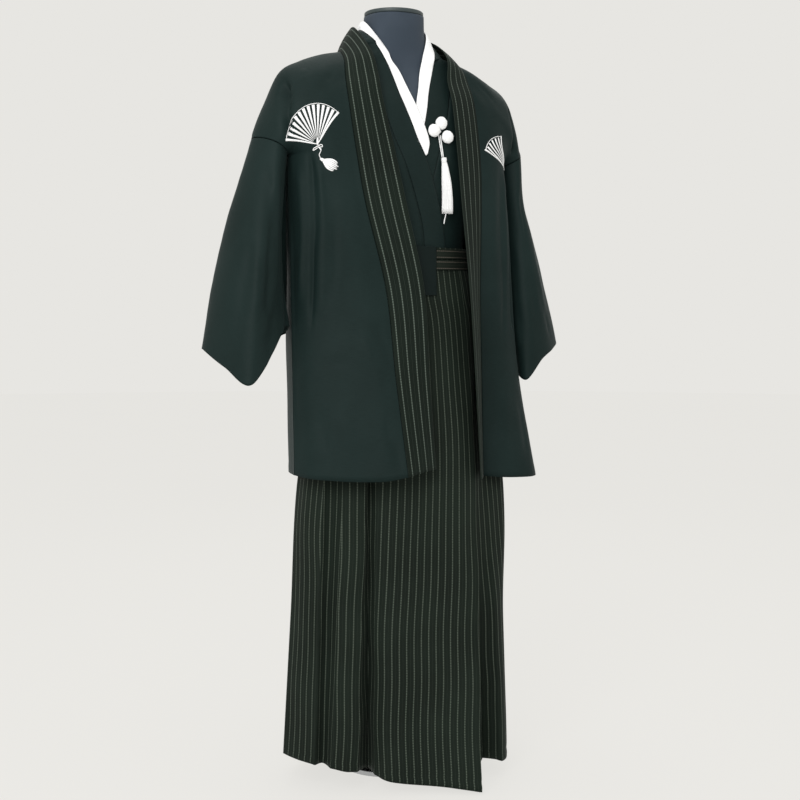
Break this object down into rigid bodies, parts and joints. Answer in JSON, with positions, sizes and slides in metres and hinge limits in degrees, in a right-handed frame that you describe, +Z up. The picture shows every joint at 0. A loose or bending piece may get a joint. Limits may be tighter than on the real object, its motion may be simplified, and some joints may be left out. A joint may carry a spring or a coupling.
{
  "type": "kimono on dress form",
  "caption": "Men's kimono with open haori jacket, white under-collar, pleated striped hakama and tassel ornament, dressed on a limbless form with pole and round base.",
  "frame": {"origin": "centre of the stand base's underside, on the floor", "axes": "+Z up, -Y towards the front, +X towards the wearer's left"},
  "size_m": [0.7945, 0.3685, 1.5334],
  "materials": {
    "black_silk": "soft sheen",
    "striped_silk": "matt, fine pale stripes",
    "white_silk": "satin",
    "form_cover": "matt jersey",
    "cap_board": "matt",
    "stand_metal": "brushed"
  },
  "bodies": {
    "root": {"form_torso": "form_cover", "form_neck_cap": "cap_board", "stand_pole": "stand_metal", "stand_base": "stand_metal", "kimono_front_right": "black_silk", "kimono_front_left": "black_silk", "kimono_back": "black_silk", "kimono_collar": "black_silk", "kimono_sleeve_right": "black_silk", "kimono_sleeve_left": "black_silk", "white_collar": "white_silk", "haori_body_right": "black_silk", "haori_body_left": "black_silk", "haori_sleeve_right": "black_silk", "haori_sleeve_left": "black_silk", "haori_collar": "striped_silk", "hakama_front": "striped_silk", "hakama_back": "striped_silk", "waist_tie_upper": "striped_silk", "waist_tie_lower": "striped_silk", "sash_end": "black_silk", "ornament_ball_top": "white_silk", "ornament_ball_right": "white_silk", "ornament_ball_left": "white_silk", "ornament_bead": "white_silk", "ornament_cord_right": "white_silk", "ornament_cord_left": "white_silk", "ornament_tassel": "white_silk"}
  },
  "joints": []
}
